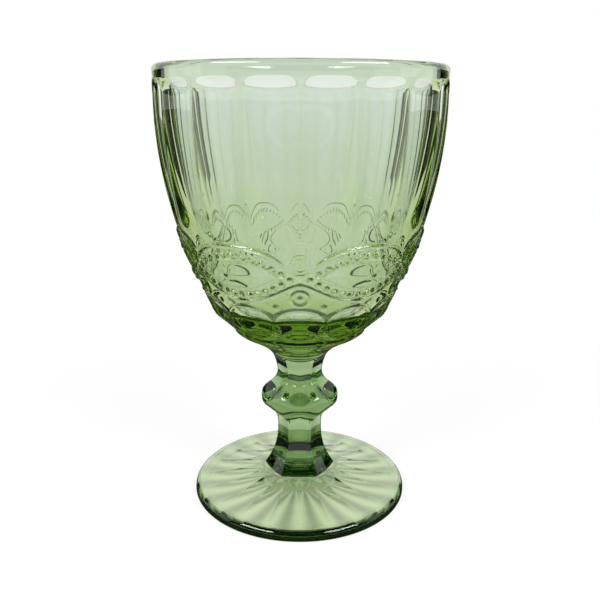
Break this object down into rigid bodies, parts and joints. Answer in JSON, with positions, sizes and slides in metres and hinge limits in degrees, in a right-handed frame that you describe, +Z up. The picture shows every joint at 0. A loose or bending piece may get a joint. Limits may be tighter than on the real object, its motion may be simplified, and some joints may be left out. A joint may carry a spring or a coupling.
{
  "type": "wine glass",
  "caption": "Footed pressed-glass wine goblet in pale green, with a fluted bowl, an oval-printed shoulder, a six-sided stem with a knop and a ribbed round foot.",
  "frame": {"origin": "centre of the foot's resting plane", "axes": "+Z up along the goblet's axis, -Y the front in the picture, +X to the right"},
  "size_m": [0.0884, 0.0884, 0.14],
  "materials": {
    "bowl_glass": "clear green pressed glass, fire-polished",
    "stem_glass": "clear green pressed glass, fire-polished, deeper where it is thick",
    "foot_glass": "clear green pressed glass, fire-polished"
  },
  "bodies": {
    "root": {"bowl": "bowl_glass", "stem": "stem_glass", "foot": "foot_glass"}
  },
  "joints": []
}
